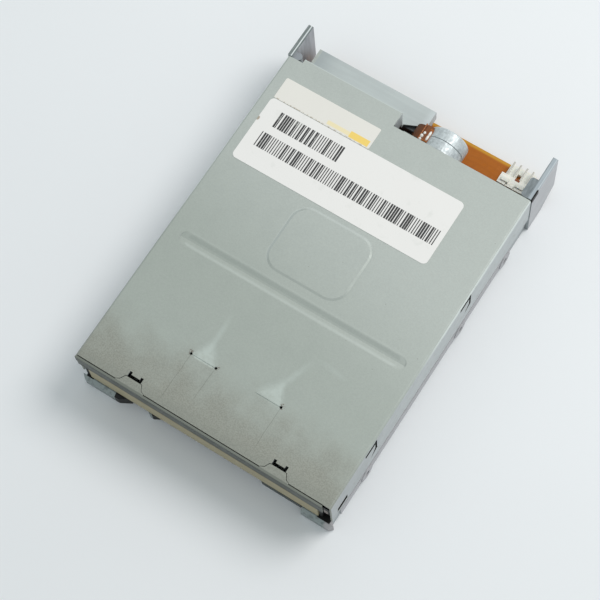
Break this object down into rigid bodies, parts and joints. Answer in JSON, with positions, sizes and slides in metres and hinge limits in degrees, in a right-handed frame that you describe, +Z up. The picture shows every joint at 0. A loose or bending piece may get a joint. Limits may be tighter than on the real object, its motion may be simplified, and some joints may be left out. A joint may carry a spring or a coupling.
{
  "type": "floppy disk drive",
  "caption": "Slim 3.5-inch floppy disk drive with a zinc steel cover, spring door, spindle, stepper-driven heads and an eject slide, without a front bezel.",
  "frame": {"origin": "centre of the footprint, on the level of the lowest frame edge", "axes": "+X to the right seen from the front, +Y from the disk door to the connectors, +Z up"},
  "size_m": [0.1016, 0.1466, 0.0254],
  "materials": {
    "cover_steel": "zinc plated, satin",
    "plate_steel": "dark bronze-grey plating",
    "cast_frame": "bare die casting, satin",
    "bright_steel": "bright plated",
    "spring_steel": "drawn wire",
    "sheet_steel": "zinc plated, satin",
    "bearing_brass": "turned",
    "door_plastic": "moulded, fine grain",
    "ivory_plastic": "moulded",
    "black_plastic": "moulded",
    "grey_plastic": "moulded, glass filled",
    "circuit_board": "lacquered laminate",
    "flex_film": "amber film",
    "ferrite": "bonded magnet",
    "head_ceramic": "polished",
    "label_white": "matt printed label",
    "label_cream": "satin printed label"
  },
  "bodies": {
    "frame": {"board_screw_1": "bright_steel", "board_screw_2": "bright_steel", "board_screw_3": "bright_steel", "bracket_screw_1": "bright_steel", "bracket_screw_2": "bright_steel", "chassis": "cast_frame", "controller_chip": "black_plastic", "density_switch": "black_plastic", "disk_switch": "black_plastic", "driver_chip": "black_plastic", "film_connector": "ivory_plastic", "front_plate": "plate_steel", "guide_rod": "bright_steel", "large_label": "label_white", "main_board": "circuit_board", "power_connector": "ivory_plastic", "power_pin_1": "bright_steel", "power_pin_2": "bright_steel", "power_pin_3": "bright_steel", "power_pin_4": "bright_steel", "protect_switch": "black_plastic", "signal_connector": "grey_plastic", "small_label": "label_cream", "spindle_bearing": "bearing_brass", "spindle_board": "circuit_board", "spindle_screw_1": "bright_steel", "spindle_screw_2": "bright_steel", "spindle_screw_3": "bright_steel", "stator": "plate_steel", "stepper_bracket": "bright_steel", "stepper_film": "flex_film", "stepper_front_cup": "bright_steel", "stepper_rear_cup": "bright_steel", "terminal_block": "ivory_plastic", "top_cover": "cover_steel", "track_sensor": "black_plastic"},
    "door": {"front_door": "door_plastic"},
    "slider": {"eject_slider": "sheet_steel"},
    "holder": {"disk_holder": "sheet_steel", "lever_rivet": "bright_steel", "eject_spring_left": "spring_steel", "eject_spring_right": "spring_steel"},
    "lever": {"shutter_lever": "bright_steel"},
    "carriage": {"head_carriage": "grey_plastic", "carriage_needle": "bright_steel", "lower_head": "head_ceramic", "arm_hinge_pin": "bright_steel", "arm_spring": "spring_steel", "head_film": "flex_film"},
    "arm": {"upper_arm": "grey_plastic", "upper_head": "head_ceramic"},
    "screw": {"lead_screw": "bright_steel"},
    "spindle": {"rotor": "bright_steel", "rotor_magnet": "ferrite", "spindle_shaft": "bright_steel", "hub_plate": "bright_steel", "drive_pin": "bright_steel"},
    "protect_plunger": {"protect_plunger": "ivory_plastic"},
    "density_plunger": {"density_plunger": "ivory_plastic"},
    "disk_plunger": {"disk_plunger": "ivory_plastic"}
  },
  "joints": [
    {"name": "door_swing", "type": "hinge", "parent": "frame", "child": "door", "pos_m": [0, -0.07035, 0.0158], "axis": [1, 0, 0], "range_deg": [0, 88], "stiffness_Nm_per_rad": 0.0002, "springref_deg": -28.65},
    {"name": "eject_slide", "type": "slide", "parent": "frame", "child": "slider", "axis": [0, -1, 0], "range_m": [0, 0.0052], "deforming": ["eject_spring_left", "eject_spring_right"]},
    {"name": "holder_drop", "type": "slide", "parent": "frame", "child": "holder", "axis": [0, 0, -1], "range_m": [0, 0.0026]},
    {"name": "lever_swing", "type": "hinge", "parent": "holder", "child": "lever", "pos_m": [-0.041, 0.02375, 0.0159], "axis": [0, 0, 1], "range_deg": [0, 77]},
    {"name": "screw_spin", "type": "hinge", "parent": "frame", "child": "screw", "pos_m": [0.0126, 0.04235, 0.0134], "axis": [0, 1, 0], "range_deg": [0, 1801]},
    {"name": "head_slide", "type": "slide", "parent": "frame", "child": "carriage", "axis": [0, -1, 0], "range_m": [0, 0.015], "deforming": ["head_film"]},
    {"name": "arm_tilt", "type": "hinge", "parent": "carriage", "child": "arm", "pos_m": [0, 0.05105, 0.0176], "axis": [1, 0, 0], "range_deg": [0, 6.75]},
    {"name": "spindle_spin", "type": "hinge", "parent": "frame", "child": "spindle", "pos_m": [0, -0.02965, 0.005], "axis": [0, 0, 1], "continuous": true},
    {"name": "protect_press", "type": "slide", "parent": "frame", "child": "protect_plunger", "axis": [0, 0, -1], "range_m": [0, 0.001], "stiffness_N_per_m": 60, "springref_m": -0.001},
    {"name": "density_press", "type": "slide", "parent": "frame", "child": "density_plunger", "axis": [0, 0, -1], "range_m": [0, 0.001], "stiffness_N_per_m": 60, "springref_m": -0.001},
    {"name": "disk_press", "type": "slide", "parent": "frame", "child": "disk_plunger", "axis": [0, 0, -1], "range_m": [0, 0.001], "stiffness_N_per_m": 60, "springref_m": -0.001}
  ],
  "couplings": [
    {"joint": "holder_drop", "follows": "eject_slide", "ratio": 0.5},
    {"joint": "arm_tilt", "follows": "eject_slide", "rad_per_m": 22.6},
    {"joint": "screw_spin", "follows": "head_slide", "rad_per_m": 2094.4}
  ]
}
